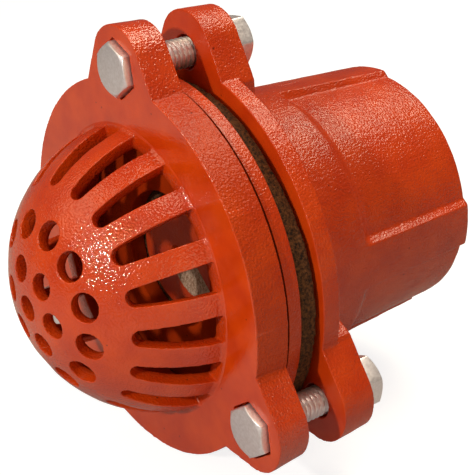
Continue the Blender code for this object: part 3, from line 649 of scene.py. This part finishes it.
def join(first, *others):
    """Puts several finished shapes into the first one's mesh."""
    bm = bmesh.new()
    for shape in (first, *others):
        bm.from_mesh(shape.data)
    bm.to_mesh(first.data)
    bm.free()
    for shape in others:
        bpy.data.objects.remove(shape, do_unlink=True)
    return first


def seated(piece, turn, centre):
    """Turns a fastener about its own axis and moves it to its hole."""
    piece.data.transform(Matrix.Translation((*centre, 0)) @ Matrix.Rotation(math.radians(turn), 4, "Z"))
    return piece


def flats_stay_flat(piece, degrees):
    """Keeps every edge sharper than that from being shaded round."""
    piece.data.set_sharp_from_angle(angle=math.radians(degrees))


NUT_TURNS = (25.0, 8.0, 40.0)
M12_FLATS, HEAD_FRONT, HEAD_BACK, NUT_FRONT, NUT_BACK = 19.0, -3.0, 4.5, 47.1, 57.5
for k, lug in enumerate(LUG_TURNS):
    middle = around(BOLT_CIRCLE, lug)
    head = hexagon_blank(f"hexagon_bolt_{k + 1}", M12_FLATS, HEAD_FRONT, HEAD_BACK, True, False, 0)
    rod = threaded("rod", radius=6.05, pitch=2.12, depth=1.25, length=55.3, chamfer=1.3, per_turn=10, steps=64)
    rod.data.transform(Matrix.Translation((0, 0, 4.2)))
    bolt = seated(join(head, rod), lug + HEAD_TURNS[k], middle)
    settle(bolt, zinc, "valve", f"bolt_{k + 1}")
    flats_stay_flat(bolt, 30)
    blank = hexagon_blank(f"hexagon_nut_{k + 1}", M12_FLATS, NUT_FRONT, NUT_BACK, True, True, 6.3)
    nut = seated(blank, lug + NUT_TURNS[k], middle)
    settle(nut, zinc, "valve", f"nut_{k + 1}")
    flats_stay_flat(nut, 30)

stud = threaded("flap_stud_riveted", radius=4.0, pitch=1.25, depth=0.75, length=30.9, chamfer=0.9, per_turn=8,
                steps=48)
stud.data.transform(Matrix.Translation((0, 0, 21.1)))
settle(stud, zinc, "flap", "flap_stud")
flats_stay_flat(stud, 30)
rivet_profile = [(0.0, 19.6), (4.7, 19.6), (5.0, 19.8), (4.0, 20.8), (3.4, 21.4), (0.0, 21.4)]
rivet = piece_from(lathe(rivet_profile, 48, closed=False), "stud_end_painted_over")
# The stud's riveted end carries painted shade, dark all over.
sand_skin(rivet, lambda r, z, up: np.full_like(r, 0.2), 0.02, shade_and_thin_coat=lambda r, z: np.full_like(r, 0.9))
settle(rivet, enamel, "flap", "flap_stud")
clamp_nut = seated(hexagon_blank("flap_nut_pressed", 13.0, 43.9, 50.4, True, True, 4.2), 12.0, (0.0, 0.0))
settle(clamp_nut, zinc, "flap", "flap_nut")
flats_stay_flat(clamp_nut, 30)

# Body: one iron casting, a flange with thick ears, a round chamber for the flap and a socket for the pipe.
# Four pads along the socket give a wrench its grip, and the panels between them are sunk by about 3 mm.
BODY_FRONT, RIM_FRONT, RIM_BACK, BODY_END = 29.9, 31.4, 39.4, 133.0
HUB_R, SOCKET_R = 60.0, 54.9
PADS = ((-22.0, 4.0), (84.0, 103.0), (158.0, 184.0), (264.0, 283.0))
PANEL_START, PANEL_FALL, PANEL_DEPTH, PANEL_END_R = 69.9, 7.0, 3.3, 52.5
LEDGE_TURN = 2.6


def hub_radius(z):
    """The hub and socket taper to the end, as far as their pads show."""
    return HUB_R + (SOCKET_R - HUB_R) * (z - RIM_BACK) / (BODY_END - RIM_BACK)


def panel_radius(z):
    """A panel leaves the hub in one soft step and then runs straight to the socket's end."""
    foot = PANEL_START + PANEL_FALL
    if z <= PANEL_START:
        return hub_radius(z)
    sunk = hub_radius(foot) - PANEL_DEPTH
    if z < foot:
        share = (z - PANEL_START) / PANEL_FALL
        return hub_radius(PANEL_START) + (sunk - hub_radius(PANEL_START)) * share * share * (3 - 2 * share)
    return sunk + (PANEL_END_R - sunk) * (z - foot) / (BODY_END - foot)


def socket_turns():
    """Each turn round the socket, and whether it lies on a pad or on a sunk panel."""
    turns = []
    for k, (start, end) in enumerate(PADS):
        following = PADS[(k + 1) % 4][0] + (360 if k == 3 else 0)
        turns += [(start + (end - start) * i / 8, True) for i in range(9)]
        low, high = end + LEDGE_TURN, following - LEDGE_TURN
        turns += [(low + (high - low) * i / 30, False) for i in range(31)]
    return turns


turns = socket_turns()
flat_front = [(53.0, BODY_FRONT), (69.0, BODY_FRONT), (69.0, RIM_FRONT), (FLANGE_R, RIM_FRONT), (FLANGE_R, RIM_BACK),
              (HUB_R + 1.5, RIM_BACK)]
bore = [(45.4, BODY_END), (44.2, BODY_END - 1.2), (44.2, 102.0), (47.8, 99.5), (47.8, 79.9), (53.0, 65.9)]
stations = [RIM_BACK + 2.0] + list(np.linspace(PANEL_START, PANEL_START + PANEL_FALL, 9)) + [100.0, BODY_END - 1.2]
rings = [[(*around(r, a), z) for a, _ in turns] for r, z in flat_front]
for z in stations:
    rings.append([(*around(hub_radius(z) if pad else panel_radius(z), a), z) for a, pad in turns])
rings.append([(*around((hub_radius(BODY_END) if pad else panel_radius(BODY_END)) - 1.2, a), BODY_END)
              for a, pad in turns])
rings += [[(*around(r, a), z) for a, _ in turns] for r, z in bore]
body = piece_from(skin(rings, closed=True), "body_casting")
shape_with(body, ears("body_ears", RIM_FRONT, 46.8), "UNION")
for lug in LUG_TURNS:
    drill = slab([around(BOLT_HOLE_R, 15 * k, around(BOLT_CIRCLE, lug)) for k in range(24)], 28, 50)
    shape_with(body, piece_from(drill, "bolt_hole"), "DIFFERENCE")
as_cast(body, 0.42, 1, CASTING_TRIANGLES)
# The socket's bore carries painted shade; elsewhere the body's coat is only a little thin.
sand_skin(body, lambda r, z, up: np.where((up < -0.8) & (z < 33), 0.1, 0.8), 0.16,
          shade_and_thin_coat=lambda r, z: np.where((r < 52.0) & (z < 131), 0.8, 0.4))
true_flats(body)
settle(body, enamel, "valve", "body")


def cut_iron(name):
    """Fresh-cut grey iron, lightly oiled: dark grey, with the tool's fine marks and a few rusty specks."""
    made, tree, shader, place = new_finish(name)
    specks = add(tree, "ShaderNodeTexNoise", {"Vector": place, "Scale": 1 / 0.0016, "Detail": 4.0, "Roughness": 0.7})
    marks = add(tree, "ShaderNodeBump", {"Strength": 0.4, "Distance": 0.0001, "Height": specks.outputs["Fac"]})
    feed(tree, shader, {
        "Base Color": two_tone(tree, specks, 0.36, "#5C4436", 0.5, "#86807B"), "Normal": marks.outputs["Normal"],
        "Metallic": 1.0, "Roughness": 0.42})
    return made


# Pipe thread: cut with a tap in the socket, 11 turns to the inch and 88 mm across its roots.
# It is the casting's own bare iron, left unpainted so that the pipe screws in.
pipe_thread = threaded("pipe_thread_cut", radius=44.25, pitch=2.309, depth=1.7, length=29.6, chamfer=0.0,
                       per_turn=8, steps=180, end_radius=45.6, end_pull=1.0)
pipe_thread.data.transform(Matrix.Translation((0, 0, 102.1)))
settle(pipe_thread, cut_iron("fresh_cut_grey_iron"), "valve", "body")
flats_stay_flat(pipe_thread, 30)

# Floor and backdrop: one wide sheet of white paper under the valve, and a white room round it.
# Both show white to the eye and faintly in gloss, and the sheet keeps the valve's own shadow.
GLOSS_SHARE = 0.08


def white_seen(tree):
    """How much of the white a ray sees: all of it from the camera or through glass, a small share in gloss."""
    ray = add(tree, "ShaderNodeLightPath")
    seen = add(tree, "ShaderNodeMath", {
        0: ray.outputs["Is Glossy Ray"], 1: GLOSS_SHARE, 2: ray.outputs["Is Camera Ray"]}, operation="MULTIPLY_ADD")
    return add(tree, "ShaderNodeMath", {0: seen.outputs[0], 1: ray.outputs["Is Transmission Ray"]},
               operation="MAXIMUM").outputs[0]


def white_paper(name):
    """Matt white paper that glows to the eye, with the valve's shadow left in."""
    made = bpy.data.materials.new(name)
    made.use_nodes = True
    tree = made.node_tree
    shader = tree.nodes["Principled BSDF"]
    feed(tree, shader, {"Base Color": (0.42, 0.42, 0.42, 1.0), "Roughness": 0.9, "Specular IOR Level": 0.0})
    glow = add(tree, "ShaderNodeEmission", {"Color": (1, 1, 1, 1), "Strength": 0.85})
    both = add(tree, "ShaderNodeAddShader", {0: shader.outputs[0], 1: glow.outputs[0]})
    pick = add(tree, "ShaderNodeMixShader", {0: white_seen(tree), 1: shader.outputs[0], 2: both.outputs[0]})
    tree.links.new(pick.outputs[0], tree.nodes["Material Output"].inputs["Surface"])
    return made


floor = piece_from(slab([(-6, -6), (6, -6), (6, 6), (-6, 6)], -0.02, 0.0), "paper_floor")
floor.data.materials.append(white_paper("matt_white_paper"))

sky = bpy.data.worlds.new("white_studio")
bpy.context.scene.world = sky
sky.use_nodes = True
lamp_tree = sky.node_tree
ground = lamp_tree.nodes["Background"]
level = add(lamp_tree, "ShaderNodeMapRange", {"Value": white_seen(lamp_tree), "To Min": 0.03, "To Max": 1.0})
feed(lamp_tree, ground, {"Color": (1, 1, 1, 1), "Strength": level.outputs["Result"]})

# Studio light: a small hard key from the strainer's side throws crisp shadows and glitter.
# Soft panels above, behind and to the left lie as pale patches on the gloss, and a low one fills the shade.
MIDDLE = Vector((0.0, 0.0, 0.08))


def panel_lamp(name, azimuth, elevation, distance, size, power, colour):
    a, e = math.radians(azimuth), math.radians(elevation)
    off = Vector((math.sin(a) * math.cos(e), -math.cos(a) * math.cos(e), math.sin(e)))
    data = bpy.data.lights.new(name, "AREA")
    data.shape = "SQUARE"
    data.size = size
    data.energy = power
    data.color = colour
    lamp = bpy.data.objects.new(name, data)
    bpy.context.scene.collection.objects.link(lamp)
    lamp.location = MIDDLE + off * distance
    lamp.rotation_mode = "QUATERNION"
    lamp.rotation_quaternion = off.to_track_quat("Z", "Y")
    return lamp


panel_lamp("key", -76.5, 27, 1.1, 0.045, 5.3, (1.0, 1.0, 0.92))
panel_lamp("front", -60, 28, 1.5, 1.0, 1.2, (1.0, 0.84, 0.55))
panel_lamp("top", 20, 74, 1.3, 0.7, 5.5, (1.0, 0.9, 0.64))
panel_lamp("back", 93, 57, 1.2, 0.42, 6.5, (1.0, 0.94, 0.72))
panel_lamp("left", -115, 45, 1.3, 0.8, 3.5, (1.0, 0.88, 0.58))
panel_lamp("low", -5, 3, 1.5, 1.0, 4.2, (1.0, 0.84, 0.5))

# Camera: a 94 mm lens half a metre off, at the height and side that the photograph's outline gives.
lens = bpy.data.cameras.new("photo_view")
lens.lens = 94.2
lens.sensor_width = 36.0
lens.clip_start = 0.01
eye = bpy.data.objects.new("photo_view", lens)
bpy.context.scene.collection.objects.link(eye)
eye.matrix_world = Matrix(((0.79867, 0.28163, -0.53179, -0.27105), (-0.59886, 0.28493, -0.74849, -0.39362),
                           (-0.05928, 0.91626, 0.39617, 0.28555), (0, 0, 0, 1)))
bpy.context.scene.camera = eye
bpy.context.scene.view_settings.view_transform = "Standard"
